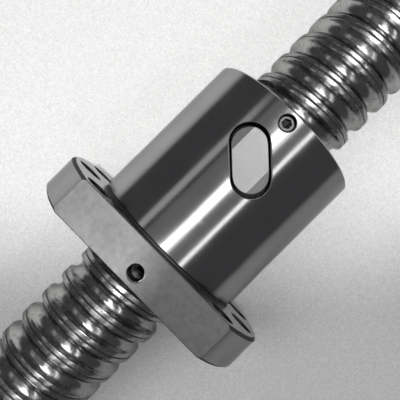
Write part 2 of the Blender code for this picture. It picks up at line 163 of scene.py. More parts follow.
# ================================================================ materials
class Finish:
    """One material's node tree, with short ways to add nodes."""

    def __init__(self, name, colour, metallic, roughness):
        self.material = bpy.data.materials.new(name)
        self.material.use_nodes = True
        self.tree = self.material.node_tree
        self.shader = self.tree.nodes["Principled BSDF"]
        self.set("Base Color", (*colour, 1))
        self.set("Metallic", metallic)
        self.set("Roughness", roughness)
        self.place = self.node("TexCoord").outputs["Object"]

    def set(self, socket, value):
        """Set a number or colour on the shader's socket, or wire another node's socket to it."""
        self.feed(self.shader.inputs[socket], value)

    def feed(self, socket, value):
        if isinstance(value, bpy.types.NodeSocket):
            self.tree.links.new(value, socket)
        else:
            socket.default_value = value

    def node(self, kind, inputs=(), **settings):
        node = self.tree.nodes.new("ShaderNode" + kind)
        for name, value in settings.items():
            setattr(node, name, value)
        for key, value in dict(inputs).items():
            self.feed(node.inputs[key], value)
        return node

    def math(self, operation, first, second=0.0):
        return self.node("Math", {0: first, 1: second}, operation=operation).outputs[0]

    def scaled(self, x, y, z):
        """Object coordinates stretched along each axis, in cells per metre."""
        return self.node("Mapping", {"Vector": self.place, "Scale": (x, y, z)}).outputs[0]

    def noise(self, vector, detail=3.0, roughness=0.5):
        return self.node("TexNoise", {"Vector": vector, "Scale": 1, "Detail": detail,
                                      "Roughness": roughness}).outputs["Fac"]

    def spread(self, value, low, high, to_low, to_high):
        """The value's range low..high carried over to another range."""
        return self.node("MapRange", {0: value, 1: low, 2: high, 3: to_low,
                                      4: to_high}).outputs[0]

    def tint(self, factor, first, second):
        mix = self.node("Mix", data_type="RGBA")
        self.feed(mix.inputs[0], factor)
        mix.inputs[6].default_value = (*first, 1)
        mix.inputs[7].default_value = (*second, 1)
        return mix.outputs[2]

    def brush(self, amount):
        """Stretch the gloss as fine lines round the screw's axis do."""
        self.set("Anisotropic", amount)
        self.set("Anisotropic Rotation", 0.25)
        tangent = self.node("Tangent", direction_type="RADIAL", axis="X")
        self.set("Tangent", tangent.outputs[0])

    def bump(self, height, distance, strength=1.0):
        """Adds relief; several calls are laid over each other."""
        normal = self.shader.inputs["Normal"]
        node = self.node("Bump", {"Height": height, "Distance": distance, "Strength": strength})
        if normal.is_linked:
            self.tree.links.new(normal.links[0].from_socket, node.inputs["Normal"])
        self.tree.links.new(node.outputs[0], normal)


def ground_steel():
    """Cylindrical grinding: fine lines round the axis, faint smears of oil."""
    look = Finish("ground_steel_finish", (0.41, 0.41, 0.41), 1, 0.2)
    look.set("Specular Tint", (0.55, 0.55, 0.55, 1))
    look.brush(0.6)
    lines = look.noise(look.scaled(5200, 55, 55), detail=4, roughness=0.65)
    smears = look.noise(look.scaled(70, 95, 95), detail=2)
    fine = look.noise(look.scaled(900, 260, 260), detail=3)
    look.bump(lines, 0.0018 * MM)
    look.bump(fine, 0.001 * MM)
    streaks = look.math("MULTIPLY", lines, smears)
    look.set("Roughness", look.spread(streaks, 0.1, 0.45, 0.14, 0.21))
    look.set("Base Color", look.tint(smears, (0.34, 0.34, 0.34), (0.42, 0.42, 0.418)))
    return look.material


def turned_steel():
    """The nut's and flange's faced ends: brighter than the ground surfaces, with fine rings."""
    look = Finish("turned_steel_finish", (0.45, 0.45, 0.45), 1, 0.3)
    look.set("Specular Tint", (0.8, 0.8, 0.8, 1))
    rings = look.noise(look.scaled(2600, 2600, 2600), detail=2)
    smears = look.noise(look.scaled(120, 120, 120), detail=3)
    look.bump(rings, 0.002 * MM)
    look.set("Roughness", look.spread(smears, 0.3, 0.7, 0.24, 0.36))
    look.set("Base Color", look.tint(smears, (0.4, 0.4, 0.4), (0.52, 0.52, 0.518)))
    return look.material


def milled_steel():
    """The flange's flats: satin, with a fine mottle and faint cutter marks across."""
    look = Finish("milled_steel_finish", (0.5, 0.5, 0.5), 1, 0.42)
    mottle = look.noise(look.scaled(520, 520, 520), detail=5, roughness=0.6)
    clouds = look.noise(look.scaled(75, 60, 75), detail=3)
    marks = look.noise(look.scaled(2600, 160, 400), detail=2)
    look.bump(mottle, 0.02 * MM)
    look.bump(marks, 0.004 * MM)
    look.set("Roughness", look.spread(clouds, 0.3, 0.7, 0.57, 0.63))
    look.set("Base Color", look.tint(mottle, (0.13, 0.13, 0.13), (0.26, 0.26, 0.258)))
    return look.material


def drilled_painted_shade():
    """Walls of holes and windows: painted dark as the shade inside them."""
    look = Finish("drilled_painted_shade_finish", (0.1, 0.1, 0.1), 1, 0.4)
    rings = look.noise(look.scaled(1400, 1400, 1400), detail=2)
    look.bump(rings, 0.01 * MM)
    look.set("Specular Tint", (0.35, 0.35, 0.35, 1))
    # painted shade: a dark base colour for the shade inside holes and windows
    look.set("Base Color", look.tint(rings, (0.04, 0.04, 0.041), (0.12, 0.12, 0.121)))
    look.set("Roughness", look.spread(rings, 0.3, 0.7, 0.28, 0.5))
    return look.material


def relief_painted_shade():
    """Relief grooves, insides and the flange's chamfers, left as turned and painted dark as shade.
    """
    look = Finish("turned_relief_painted_shade", (0.18, 0.18, 0.18), 1, 0.5)
    lines = look.noise(look.scaled(3000, 40, 40), detail=3)
    look.bump(lines, 0.008 * MM)
    look.set("Specular Tint", (0.5, 0.5, 0.5, 1))
    # painted shade: a dark base colour for the shade in grooves, insides and chamfers
    look.set("Base Color", look.tint(lines, (0.06, 0.06, 0.061), (0.13, 0.13, 0.132)))
    return look.material


def raceway_steel():
    """Hardened and polished ball track."""
    look = Finish("raceway_finish", (0.56, 0.56, 0.57), 1, 0.14)
    wear = look.noise(look.scaled(300, 90, 90), detail=3)
    look.bump(wear, 0.003 * MM)
    look.set("Roughness", look.spread(wear, 0.3, 0.7, 0.1, 0.2))
    return look.material


def rolled_steel():
    """The rolled thread: polished, oily and blotchy; the seam along each crest has its own painted
    shade.
    """
    look = Finish("rolled_steel_finish", (0.42, 0.42, 0.415), 1, 0.25)
    look.set("Specular Tint", (0.45, 0.45, 0.45, 1))
    look.brush(0.45)
    parts = look.node("SeparateXYZ", {0: look.place}).outputs
    turn = look.math("DIVIDE", look.math("ARCTAN2", parts[2], parts[1]), math.tau)
    along = look.math("DIVIDE", look.math("SUBTRACT", parts[0], GROOVE_X), LEAD)
    lane = look.math("FLOORED_MODULO", look.math("SUBTRACT", along, turn), 1)
    from_crest = look.math("ABSOLUTE", look.math("SUBTRACT", lane, 0.5))
    crest = look.spread(from_crest, 0.2, 0.14, 0, 1)
    blotches = look.noise(look.scaled(150, 230, 230), detail=4, roughness=0.6)
    flow = look.noise(look.scaled(1500, 110, 110), detail=4, roughness=0.6)
    pits = look.noise(look.scaled(900, 900, 900), detail=4, roughness=0.7)
    scuffs = look.noise(look.scaled(700, 420, 420), detail=5, roughness=0.75)
    look.bump(blotches, 0.02 * MM, 0.6)
    look.bump(flow, 0.007 * MM)
    look.bump(pits, 0.014 * MM)
    look.bump(scuffs, 0.016 * MM)
    rough = look.spread(blotches, 0.35, 0.65, 0.13, 0.3)
    scuffed = look.math("MULTIPLY", crest, look.spread(scuffs, 0.45, 0.62, 0, 0.16))
    look.set("Roughness", look.math("ADD", rough, scuffed))
    grime = look.spread(pits, 0.54, 0.68, 0, 1)
    look.set("Base Color", look.tint(grime, (0.41, 0.41, 0.406), (0.18, 0.172, 0.16)))
    return look.material


def seam_painted_shade():
    """Bottom of the crest's seam, painted black as the shade in the narrow groove."""
    look = Finish("seam_painted_shade_finish", (0.03, 0.03, 0.03), 0.6, 0.5)
    grains = look.noise(look.scaled(1500, 1500, 1500), detail=3)
    look.bump(grains, 0.01 * MM)
    # painted shade: the seam's near-black colour is the shade in the narrow groove
    look.set("Base Color", look.tint(grains, (0.015, 0.015, 0.015), (0.09, 0.085, 0.08)))
    return look.material


def blasted_steel():
    """Return inserts: sandblasted, an even light grey with fine grain."""
    look = Finish("blasted_steel_finish", (0.6, 0.6, 0.6), 1, 0.5)
    grain = look.noise(look.scaled(2600, 2600, 2600), detail=3, roughness=0.6)
    patches = look.noise(look.scaled(420, 420, 420), detail=3)
    look.bump(grain, 0.03 * MM)
    look.bump(patches, 0.03 * MM)
    look.set("Base Color", look.tint(grain, (0.34, 0.34, 0.34), (0.55, 0.55, 0.545)))
    look.set("Roughness", look.spread(patches, 0.35, 0.65, 0.52, 0.57))
    return look.material


def ball_steel():
    look = Finish("ball_steel_finish", (0.62, 0.62, 0.63), 1, 0.06)
    haze = look.noise(look.scaled(500, 500, 500), detail=3)
    look.set("Roughness", look.spread(haze, 0.3, 0.7, 0.04, 0.09))
    look.bump(haze, 0.0006 * MM)
    return look.material


def black_oxide():
    look = Finish("black_oxide_finish", (0.05, 0.05, 0.055), 1, 0.32)
    grain = look.noise(look.scaled(1800, 1800, 1800), detail=3)
    look.bump(grain, 0.006 * MM)
    look.set("Base Color", look.tint(grain, (0.06, 0.06, 0.061), (0.14, 0.14, 0.141)))
    look.set("Roughness", look.spread(grain, 0.3, 0.7, 0.25, 0.42))
    return look.material


def spring_steel():
    look = Finish("spring_steel_finish", (0.1, 0.1, 0.1), 1, 0.35)
    grain = look.noise(look.scaled(800, 800, 800), detail=4)
    rubs = look.noise(look.scaled(160, 160, 160), detail=3)
    look.bump(grain, 0.008 * MM)
    look.set("Base Color", look.tint(rubs, (0.05, 0.05, 0.053), (0.16, 0.155, 0.15)))
    look.set("Roughness", look.spread(grain, 0.3, 0.7, 0.28, 0.45))
    return look.material


def wiper_plastic():
    look = Finish("wiper_plastic_finish", (0.02, 0.02, 0.021), 0, 0.45)
    skin = look.noise(look.scaled(1500, 1500, 1500), detail=4)
    dust = look.noise(look.scaled(200, 200, 200), detail=3)
    look.bump(skin, 0.012 * MM)
    look.set("Base Color", look.tint(dust, (0.014, 0.014, 0.015), (0.035, 0.035, 0.035)))
    look.set("Roughness", look.spread(skin, 0.3, 0.7, 0.38, 0.55))
    return look.material


def floor_paper():
    """Pale paper with a fine grain, and painted shade that greys it a little well away from the
    object.
    """
    look = Finish("floor_paper", (0.82, 0.82, 0.81), 0, 0.85)
    grain = look.noise(look.scaled(1400, 1400, 1400), detail=4, roughness=0.7)
    away = look.node("VectorMath", {0: look.place}, operation="LENGTH").outputs["Value"]
    # painted shade: the paper darkens with distance from the object, standing in for light falling
    # off
    near = look.spread(away, 0.25, 0.8, 1, 0.7)
    look.bump(grain, 0.15 * MM)
    shade = look.math("MULTIPLY", look.spread(grain, 0.3, 0.7, 0.72, 1), near)
    look.set("Base Color", look.tint(shade, (0, 0, 0), (0.92, 0.92, 0.91)))
    return look.material


# ================================================================ mesh helpers
def new_object(name, data):
    obj = bpy.data.objects.new(name, data)
    bpy.context.scene.collection.objects.link(obj)
    return obj


def clean(mesh):
    """Merge doubled points, drop faces of no area and turn all faces outwards."""
    shape = bmesh.new()
    shape.from_mesh(mesh)
    bmesh.ops.remove_doubles(shape, verts=shape.verts, dist=MERGE)
    bmesh.ops.dissolve_degenerate(shape, edges=shape.edges, dist=MERGE)
    bmesh.ops.recalc_face_normals(shape, faces=shape.faces)
    shape.to_mesh(mesh)
    shape.free()


def mesh_piece(name, verts, faces, materials, paint=0):
    mesh = bpy.data.meshes.new(name)
    mesh.from_pydata([tuple(v) for v in verts], [], faces)
    clean(mesh)
    for material in materials:
        mesh.materials.append(material)
    mesh.polygons.foreach_set("material_index", [paint] * len(mesh.polygons))
    return new_object(name, mesh)


class Skin:
    """A closed skin about an axis, laid as rings and threads one after the other."""

    def __init__(self, columns, placement=Matrix()):
        self.angles = [math.tau * j / columns for j in range(columns)]
        self.placement = placement
        self.verts = []
        self.faces = []
        self.first = None
        self.last = None

    def point(self, x, radius, angle):
        place = Vector((x, radius * math.cos(angle), radius * math.sin(angle)))
        self.verts.append(self.placement @ place)
        return len(self.verts) - 1

    def join(self, row):
        if self.last:
            for j in range(len(row)):
                self.faces.append((self.last[j - 1], self.last[j], row[j], row[j - 1]))
        self.first = self.first or row
        self.last = row

    def ring(self, x, radius):
        self.join([self.point(x, radius, angle) for angle in self.angles])

    def rings(self, profile):
        for x, radius in profile:
            self.ring(x, radius)

    def close(self):
        self.join(self.first)

    def thread(self, x_from, x_to, lead, start, offsets, radius_at):
        """A right-hand thread between two planes. radius_at(offset, turns, x) is its radius at an
        offset from the groove's centre line. Rows past either plane gather on it and merge."""
        first = math.floor((x_from - start) / lead) - 2
        last = math.ceil((x_to - start) / lead) + 1
        columns = []
        for angle in self.angles:
            column = []
            for turn in range(first, last + 1):
                for offset in offsets:
                    turns = turn + angle / math.tau
                    x = start + lead * turns + offset
                    if not x_from < x < x_to:
                        x = min(max(x, x_from), x_to)
                        base = (x - start) / lead - angle / math.tau
                        turns = math.floor(base) + angle / math.tau
                        radius = radius_at((base % 1) * lead, turns, x)
                    else:
                        radius = radius_at(offset, turns, x)
                    column.append(self.point(x, radius, angle))
            columns.append(column)
        self.join([column[0] for column in columns])
        rise = len(offsets)
        for j, near in enumerate(columns):
            far = columns[j + 1] if j + 1 < len(columns) else columns[0][rise:]
            for i in range(min(len(near), len(far)) - 1):
                self.faces.append((near[i], far[i], far[i + 1], near[i + 1]))
        self.last = [column[-1] for column in columns]

    def piece(self, name, materials, paint=0):
        return mesh_piece(name, self.verts, self.faces, materials, paint)


def radial_frame(x, angle, turn=0.0):
    """Placement with Z outwards at the angle about +X, and X turned off the screw's axis."""
    outward = Vector((0, math.cos(angle), math.sin(angle)))
    backward = Vector((0, math.sin(angle), -math.cos(angle)))
    long_way = math.cos(turn) * Vector((1, 0, 0)) + math.sin(turn) * backward
    across = outward.cross(long_way)
    return Matrix.Translation((x, 0, 0)) @ Matrix(
        (long_way, across, outward)).transposed().to_4x4()


def on_end(placement):
    """The placement with its Z axis as the axis of a Skin, which is X."""
    return placement @ Matrix.Rotation(-math.pi / 2, 4, "Y")


def arc(centre, radius, start, stop, count):
    angles = [start + (stop - start) * i / count for i in range(count + 1)]
    return [(centre[0] + radius * math.cos(a), centre[1] + radius * math.sin(a)) for a in angles]


def racetrack(length, width, count=20):
    """A slot outline with round ends, its long way along X."""
    reach = (length - width) / 2
    right = arc((reach, 0), width / 2, -math.pi / 2, math.pi / 2, count)
    left = arc((-reach, 0), width / 2, math.pi / 2, 3 * math.pi / 2, count)
    return right + left


def loft(name, loops, materials, paint=0, placement=Matrix()):
    """A closed solid through loops of equal length, with the first and last loop filled."""
    verts = [placement @ Vector(point) for loop in loops for point in loop]
    count = len(loops[0])
    faces = [tuple(range(count)), tuple(range((len(loops) - 1) * count, len(loops) * count))]
    for level in range(len(loops) - 1):
        base = level * count
        for i in range(count):
            k = (i + 1) % count
            faces.append((base + i, base + k, base + count + k, base + count + i))
    return mesh_piece(name, verts, faces, materials, paint)


def bar(name, points, radius, materials, paint):
    """A round bar through the points, its section kept square to the path."""
    sides = 24
    loops = []
    side = None
    for i, point in enumerate(points):
        ahead = (points[min(i + 1, len(points) - 1)] - points[max(i - 1, 0)]).normalized()
        outward = Vector((0, point.y, point.z)).normalized() if side is None else side
        side = (outward - ahead * outward.dot(ahead)).normalized()
        other = ahead.cross(side)
        loops.append([point + radius * (math.cos(a) * side + math.sin(a) * other)
                      for a in (math.tau * k / sides for k in range(sides))])
    return loft(name, loops, materials, paint)


def boolean(obj, other, operation="DIFFERENCE"):
    modifier = obj.modifiers.new(other.name, "BOOLEAN")
    modifier.operation = operation
    modifier.solver = "MANIFOLD"
    modifier.object = other


def settle(obj):
    """Turn the modifiers into plain mesh and remove the cutters that they used."""
    cutters = {m.object for m in obj.modifiers if m.type == "BOOLEAN"}
    graph = bpy.context.evaluated_depsgraph_get()
    mesh = bpy.data.meshes.new_from_object(obj.evaluated_get(graph))
    obj.modifiers.clear()
    obj.data = mesh
    for cutter in cutters:
        bpy.data.objects.remove(cutter, do_unlink=True)


def break_edges(obj, width):
    """Round over the sharp edges."""
    bevel = obj.modifiers.new("edges", "BEVEL")
    bevel.limit_method = "ANGLE"
    bevel.angle_limit = math.radians(60)
    bevel.width = width
    bevel.segments = 2
    settle(obj)


def smooth(obj, angle=35):
    obj.data.shade_smooth()
    obj.data.set_sharp_from_angle(angle=math.radians(angle))
    return obj


def finish_piece(obj, body, slot, *nodes):
    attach(obj, body)
    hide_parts(*nodes)


# ================================================================ the balls' route
def circuit_angle(index):
    return TOP - index * math.tau / CIRCUITS


def circuit_x(index):
    return RETURN_X - index * LEAD * (1 + 1 / CIRCUITS)


def on_screw(x, radius, angle):
    """A point at a radius and angle about the screw's axis."""
    return Vector((x, radius * math.cos(angle), radius * math.sin(angle)))


def return_point(index, way):
    """Point of a return passage: way runs from -1 to 1 as it climbs back one lead over the land."""
    sweep = LEAD * RETURN_HALF_ANGLE / math.tau
    offset = LEAD / 2 - sweep
    linear = (3 * offset + sweep) / 2
    x = circuit_x(index) - (linear * way + (offset - linear) * way ** 3)
    lift = RETURN_LIFT * max(0, 1 - way * way) ** 1.5
    return on_screw(x, BALL_CIRCLE_R + lift, circuit_angle(index) + way * RETURN_HALF_ANGLE)


def loaded_point(index, share):
    """Point of a loaded row: share runs from 0 to 1 round the screw, from insert back to insert."""
    angle = RETURN_HALF_ANGLE + share * (math.tau - 2 * RETURN_HALF_ANGLE)
    x = circuit_x(index) - LEAD / 2 + LEAD * angle / math.tau
    return on_screw(x, BALL_CIRCLE_R, circuit_angle(index) + angle)


def track_radius(offset):
    """Radius of the gothic-arch track at an offset along X from its centre line."""
    side = min(abs(offset) + TRACK_OFFSET, TRACK_R)
    return BALL_CIRCLE_R + TRACK_OFFSET - TRACK_CLEAR - math.sqrt(TRACK_R ** 2 - side ** 2)


# ================================================================ screw shaft
JOURNAL, SEAM_SHADE = 1, 2
SEAM_HALF = 0.27 * MM
SEAM_DEPTH = 0.25 * MM
CREST_ROUND = 0.07 * MM
CREST_EDGE = 0.3 * MM
CREST_DROP = 0.1 * MM
CENTRE_DEPTH = 0.7 * MM
CENTRE_R = 2.6 * MM
CENTRE_TIP_R = 0.8 * MM
RUNOUT = 2 * MM
RUNOUT_STEP = 0.3 * MM
LOCKNUT_CREST_R = 14.7 * MM
LOCKNUT_RELIEF = 0.5 * MM


def wander(turns):
    """Sideways drift of the crest's seam along the thread."""
    return (0.11 * math.sin(math.tau * 1.37 * turns + 0.6) + 0.08 * math.sin(
        math.tau * 3.13 * turns + 2) + 0.05 * math.sin(math.tau * 7.7 * turns)) * MM


def lane_at(x, y, z):
    """Where a point lies between two turns of the track's centre line, from 0 to 1."""
    return ((x - GROOVE_X) / LEAD - math.atan2(z, y) / math.tau) % 1


def land_half():
    """Half the width of the land between two turns of the track."""
    reach = BALL_CIRCLE_R + TRACK_OFFSET - TRACK_CLEAR - SCREW_R
    return LEAD / 2 - (math.sqrt(TRACK_R ** 2 - reach ** 2) - TRACK_OFFSET)


def thread_offsets():
    """Offsets across one turn, from one track's centre line to the next one's."""
    half = land_half()
    track = LEAD / 2 - half
    rising = [track * share for share in (0, 0.16, 0.32, 0.48, 0.64, 0.78, 0.9)]
    crest = [track, track + CREST_EDGE * 0.4, track + CREST_EDGE]
    lobe = [LEAD / 2 - half * 0.52, LEAD / 2 - 2.4 * SEAM_HALF, LEAD / 2 - SEAM_HALF]
    left = rising + crest + lobe
    return left + [LEAD / 2] + [LEAD - offset for offset in reversed(left[1:])]


def thread_radius(offset, turns, x):
    half = land_half()
    from_crest = offset - LEAD / 2
    radius = track_radius(min(offset, LEAD - offset))
    if abs(from_crest) < half:
        edge = max(0.0, 1 - (half - abs(from_crest)) / CREST_EDGE)
        lobe = abs(abs(from_crest) - half / 2) / (half / 2)
        radius = SCREW_R - CREST_ROUND * lobe ** 2 - CREST_DROP * edge ** 2
        if abs(from_crest) < 0.5 * SEAM_HALF:
            radius -= SEAM_DEPTH * (0.75 + 0.25 * math.sin(math.tau * 2.3 * turns))
    ends = min(x - THREAD_FROM, THREAD_TO - x)
    return min(radius, SCREW_R - SHAFT_CHAMFER + max(ends, 0))


def locknut_radius(offset, turns, x):
    """60 degree thread with a flat root."""
    depth = 0.61 * LOCKNUT_PITCH
    share = abs(offset / LOCKNUT_PITCH - 0.5) * 2
    ends = min(x - LOCKNUT_TO, LOCKNUT_FROM - x)
    radius = LOCKNUT_CREST_R - depth * min(1, max(0, (share - 0.12) / 0.68))
    return min(radius, LOCKNUT_CREST_R - depth + max(ends, 0))


def screw_shaft(materials):
    """The whole screw from end to end: drive journal, lock nut thread, bearing journals, track."""
    skin = Skin(THREAD_COLUMNS)
    runout_r = BEARING_R - RUNOUT_STEP
    slope = RUNOUT - RUNOUT_STEP
    groove = RING_GROOVE_WIDTH / 2
    locknut_offsets = [LOCKNUT_PITCH * share for share in (0, 0.1, 0.44, 0.56, 0.9)]
    skin.rings([(SCREW_LOW + CENTRE_DEPTH, 0), (SCREW_LOW + CENTRE_DEPTH, CENTRE_TIP_R),
                (SCREW_LOW, CENTRE_R), (SCREW_LOW, DRIVE_R - EDGE_BREAK),
                (SCREW_LOW + EDGE_BREAK, DRIVE_R), (LOCKNUT_TO - 0.6 * MM, DRIVE_R),
                (LOCKNUT_TO, DRIVE_R + LOCKNUT_RELIEF)])
    skin.thread(LOCKNUT_TO, LOCKNUT_FROM, LOCKNUT_PITCH, 0, locknut_offsets, locknut_radius)
    skin.rings([(LOCKNUT_FROM, BEARING_R - LOCKNUT_RELIEF),
                (LOCKNUT_FROM + LOCKNUT_RELIEF, BEARING_R), (THREAD_FROM - RUNOUT, BEARING_R),
                (THREAD_FROM - slope, runout_r), (THREAD_FROM - RUNOUT_STEP, runout_r)])
    skin.thread(THREAD_FROM, THREAD_TO, LEAD, GROOVE_X, thread_offsets(), thread_radius)
    skin.rings([(THREAD_TO + RUNOUT_STEP, runout_r), (THREAD_TO + slope, runout_r),
                (THREAD_TO + RUNOUT, BEARING_R), (RING_X - groove, BEARING_R),
                (RING_X - groove, RING_GROOVE_R), (RING_X + groove, RING_GROOVE_R),
                (RING_X + groove, BEARING_R), (SCREW_HIGH - EDGE_BREAK, BEARING_R),
                (SCREW_HIGH, BEARING_R - EDGE_BREAK), (SCREW_HIGH, CENTRE_R),
                (SCREW_HIGH - CENTRE_DEPTH, CENTRE_TIP_R), (SCREW_HIGH - CENTRE_DEPTH, 0)])
    shaft = skin.piece("threaded_shaft", materials)
    cut_keyway(shaft, materials)
    paint_shaft(shaft)
    for vert in shaft.data.vertices:
        if THREAD_FROM < vert.co.x < THREAD_TO:
            from_crest = abs(lane_at(*vert.co) - 0.5) * LEAD
            near = max(0, 1 - (from_crest / (0.75 * land_half())) ** 2)
            vert.co.x += wander((vert.co.x - GROOVE_X) / LEAD) * near
    smooth(shaft, 38)
    finish_piece(shaft, "shaft", "rolled_steel", "screw_shaft")


def cut_keyway(shaft, materials):
    place = radial_frame((LOCKNUT_TO + SCREW_LOW) / 2, TOP)
    keyway = loft("cut_keyway", [
        [(x, y, z) for x, y in racetrack(KEYWAY_LENGTH, KEYWAY_WIDTH)]
        for z in (DRIVE_R - KEYWAY_DEPTH, DRIVE_R + 3 * MM)], materials, JOURNAL, place)
    boolean(shaft, keyway)
    settle(shaft)


def paint_shaft(shaft):
    """Journals and end faces are ground, and the seam along the crest takes painted shade."""
    for face in shaft.data.polygons:
        x, y, z = face.center
        from_crest = abs(lane_at(x, y, z) - 0.5) * LEAD
        if not THREAD_FROM <= x <= THREAD_TO:
            face.material_index = JOURNAL
        # Painted shade along the crest's seam.
        elif from_crest < SEAM_HALF and math.hypot(y, z) > SCREW_R - 0.3 * MM:
            face.material_index = SEAM_SHADE


# ================================================================ nut
GROUND, MILLED, DRILLED_SHADE, RELIEF_SHADE, BORE, TRACK, TURNED = range(7)
SEAT_BREAK = 0.3 * MM
PILOT_TAPER = 1.6 * MM
CUT_PAST = 2 * MM


def nut_blank(materials):
    """The turned body, before anything is milled or drilled into it."""
    skin = Skin(192)
    relief = UNDERCUT_WIDTH / 2
    sweep = 2 * math.atan(UNDERCUT_DEPTH / relief)
    radius = relief / math.sin(sweep)
    middle = (relief, PILOT_R + radius * math.cos(sweep))
    undercut = arc(middle, radius, -TOP + sweep, -TOP - sweep, 10)
    skin.rings([
        (NUT_HIGH, SEAT_R + SEAT_BREAK), (NUT_HIGH, REST_R - NUT_CHAMFER),
        (NUT_HIGH - NUT_CHAMFER, REST_R), (PILOT_TO + PILOT_TAPER, REST_R), (PILOT_TO, PILOT_R),
        *undercut[:-1], (0, undercut[-1][1] - 0.1 * MM),
        (0, FLANGE_R - FLANGE_CHAMFER), (-FLANGE_CHAMFER, FLANGE_R),
        (NUT_LOW + FLANGE_CHAMFER, FLANGE_R), (NUT_LOW, FLANGE_R - FLANGE_CHAMFER),
        (NUT_LOW, SEAT_R + SEAT_BREAK), (NUT_LOW + SEAT_BREAK, SEAT_R),
        (NUT_LOW + SEAT_FLANGE, SEAT_R), (NUT_LOW + SEAT_FLANGE, NUT_BORE_R),
        (NUT_HIGH - SEAT_FREE, NUT_BORE_R), (NUT_HIGH - SEAT_FREE, SEAT_R),
        (NUT_HIGH - SEAT_BREAK, SEAT_R)])
    skin.close()
    blank = skin.piece("nut_housing", materials)
    for face in blank.data.polygons:
        x, y, z = face.center
        radius = math.hypot(y, z)
        # Painted shade: the undercut, the bore's shoulders and the flange's chamfers take the dark
        # relief finish.
        if 0 < x < UNDERCUT_WIDTH and REST_R - MM < radius < PILOT_R - 0.02 * MM:
            face.material_index = RELIEF_SHADE
        elif radius < SEAT_R + 0.1 * MM:
            face.material_index = BORE if abs(face.normal.x) < 0.5 else RELIEF_SHADE
        elif abs(face.normal.x) > 0.99:
            face.material_index = TURNED
        elif abs(face.normal.x) > 0.5 and radius > FLANGE_R - FLANGE_CHAMFER:
            face.material_index = RELIEF_SHADE
    return blank


def cut_flats(nut, materials):
    """Both flats at once, their long edges broken."""
    past = 0.3 * MM
    for side in (-1, 1):
        section = [(NUT_LOW - CUT_PAST, FLAT_Z - FLAT_BREAK - CUT_PAST),
                   (NUT_LOW + FLAT_BREAK, FLAT_Z), (-FLAT_BREAK, FLAT_Z),
                   (past, FLAT_Z - FLAT_BREAK - past), (past, 2 * FLAT_Z),
                   (NUT_LOW - CUT_PAST, 2 * FLAT_Z)]
        loops = [[(x, y, side * z) for x, z in section] for y in (-2 * FLANGE_R, 2 * FLANGE_R)]
        boolean(nut, loft(f"cut_flat_{side + 2}", loops, materials, MILLED))


def cut_bolt_holes(nut, materials):
    for side in (0, 180):
        for angle in BOLT_ANGLES:
            place = Matrix.Translation(on_screw(0, BOLT_CIRCLE_R, math.radians(side + angle)))
            skin = Skin(48, place)
            flare = BOLT_HOLE_R + BOLT_CHAMFER
            skin.rings([(NUT_LOW - CUT_PAST, 0), (NUT_LOW - CUT_PAST, flare + CUT_PAST),
                        (NUT_LOW, flare), (NUT_LOW + BOLT_CHAMFER, BOLT_HOLE_R),
                        (-BOLT_CHAMFER, BOLT_HOLE_R), (0, flare), (CUT_PAST, flare + CUT_PAST),
                        (CUT_PAST, 0)])
            boolean(nut, skin.piece(f"cut_bolt_hole_{side + angle}", materials, DRILLED_SHADE))


def fine_thread_depth(pitch):
    return 0.55 * pitch


def fine_thread_cut(offset, pitch):
    """How far a small V thread is cut in at an offset across its pitch."""
    share = abs(offset / pitch - 0.5) * 2
    return fine_thread_depth(pitch) * min(1, max(0, (share - 0.15) / 0.7))


def fine_thread_offsets(pitch):
    return [pitch * share for share in (0, 0.12, 0.4, 0.6, 0.88)]


def cut_port(nut, materials):
    """The lubrication port: tapped, stepped at its bottom, then a slanted drilling."""
    bottom = FLAT_Z - PORT_DEPTH
    above = FLAT_Z + 3 * MM
    skin = Skin(40, on_end(radial_frame(PORT_X, TOP)))
    skin.rings([(bottom - 0.4 * PORT_R, 0), (bottom, PORT_R - fine_thread_depth(PORT_PITCH))])
    skin.thread(bottom, FLAT_Z - PORT_RIM, PORT_PITCH, 0, fine_thread_offsets(PORT_PITCH),
                lambda offset, turns, x: PORT_R - fine_thread_cut(offset, PORT_PITCH))
    skin.rings([(FLAT_Z - PORT_RIM, PORT_R), (above, PORT_R), (above, 0)])
    boolean(nut, skin.piece("cut_port", materials, DRILLED_SHADE))
    tilt = Matrix.Rotation(-PORT_DRILL_TILT, 4, "Y")
    base = Matrix.Translation((PORT_X, 0, FLAT_Z - PORT_DEPTH + PORT_DRILL_R))
    drill = Skin(24, on_end(base @ tilt))
    drill.rings([(-PORT_DEPTH, 0), (-PORT_DEPTH, PORT_DRILL_R), (2 * PORT_DRILL_R, PORT_DRILL_R),
                 (2 * PORT_DRILL_R, 0)])
    boolean(nut, drill.piece("cut_port_drilling", materials, DRILLED_SHADE))


def edge_cutter(name, outline_at, placement, low, chamfer, materials):
    """A prism with its rim rounded over where it leaves the nut's round outside. outline_at(grow)
    is the outline, offset outwards, in the placement's X and Y."""
    upright = placement.to_3x3()

    def rim(grow, rise):
        """The outline, offset outwards, at a height over the nut's outside."""
        loop = []
        for x, y in outline_at(grow * chamfer):
            sideways = (upright @ Vector((x, y, 0))).yz.length
            loop.append((x, y, math.sqrt(REST_R ** 2 - sideways ** 2) + rise * chamfer))
        return loop
    loops = [[(x, y, low) for x, y in outline_at(0)],
             rim(0, -0.7), rim(0.24, -0.26), rim(1.76, 0.26),
             [(x, y, PILOT_R + 4 * MM) for x, y in outline_at(1.76 * chamfer)]]
    # The window and hole walls take the drilled finish, which is painted shade.
    return loft(name, loops, materials, DRILLED_SHADE, placement)


def cut_windows(nut, materials):
    for index in range(CIRCUITS):
        place = radial_frame(circuit_x(index), circuit_angle(index), WINDOW_TURN)
        boolean(nut, edge_cutter(
            f"cut_window_{index + 1}",
            lambda grow: racetrack(WINDOW_LENGTH + 2 * grow, WINDOW_WIDTH + 2 * grow),
            place, SCREW_R - TRACK_R, WINDOW_BREAK, materials))


